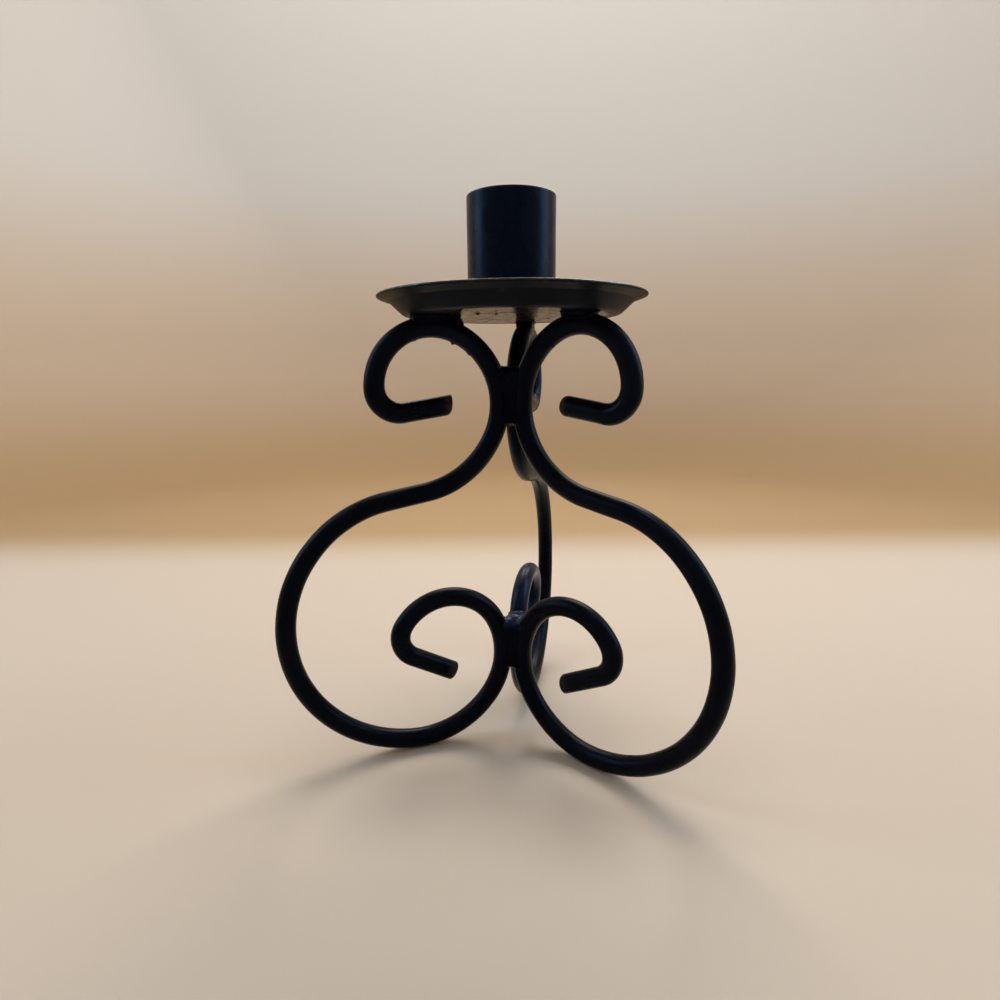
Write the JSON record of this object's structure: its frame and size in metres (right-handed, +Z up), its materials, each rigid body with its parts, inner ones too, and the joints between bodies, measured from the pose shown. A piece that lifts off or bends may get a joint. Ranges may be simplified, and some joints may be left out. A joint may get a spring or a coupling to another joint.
{
  "type": "taper candle holder",
  "caption": "Taper candle holder with three scroll legs of bent round rod, welded together under a round drip pan with a plain tube cup.",
  "frame": {"origin": "on the table, under the middle of the candle cup", "axes": "+Z up along the candle cup; +Y towards the rear leg; the left leg points to -X -Y and the right leg to +X -Y"},
  "size_m": [0.1232, 0.1088, 0.1617],
  "materials": {
    "black_paint": "satin black enamel over bent steel rod",
    "pan_paint": "satin black enamel over stamped steel sheet",
    "cup_paint": "satin black enamel over steel tube",
    "weld_paint": "glossy black enamel over rough weld metal"
  },
  "bodies": {
    "root": {"leg_left": "black_paint", "leg_right": "black_paint", "leg_rear": "black_paint", "upper_leg_weld": "weld_paint", "lower_leg_weld": "weld_paint", "pan_weld_left": "weld_paint", "pan_weld_right": "weld_paint", "pan_weld_rear": "weld_paint", "drip_pan": "pan_paint", "candle_cup": "cup_paint", "cup_weld": "weld_paint"}
  },
  "joints": []
}
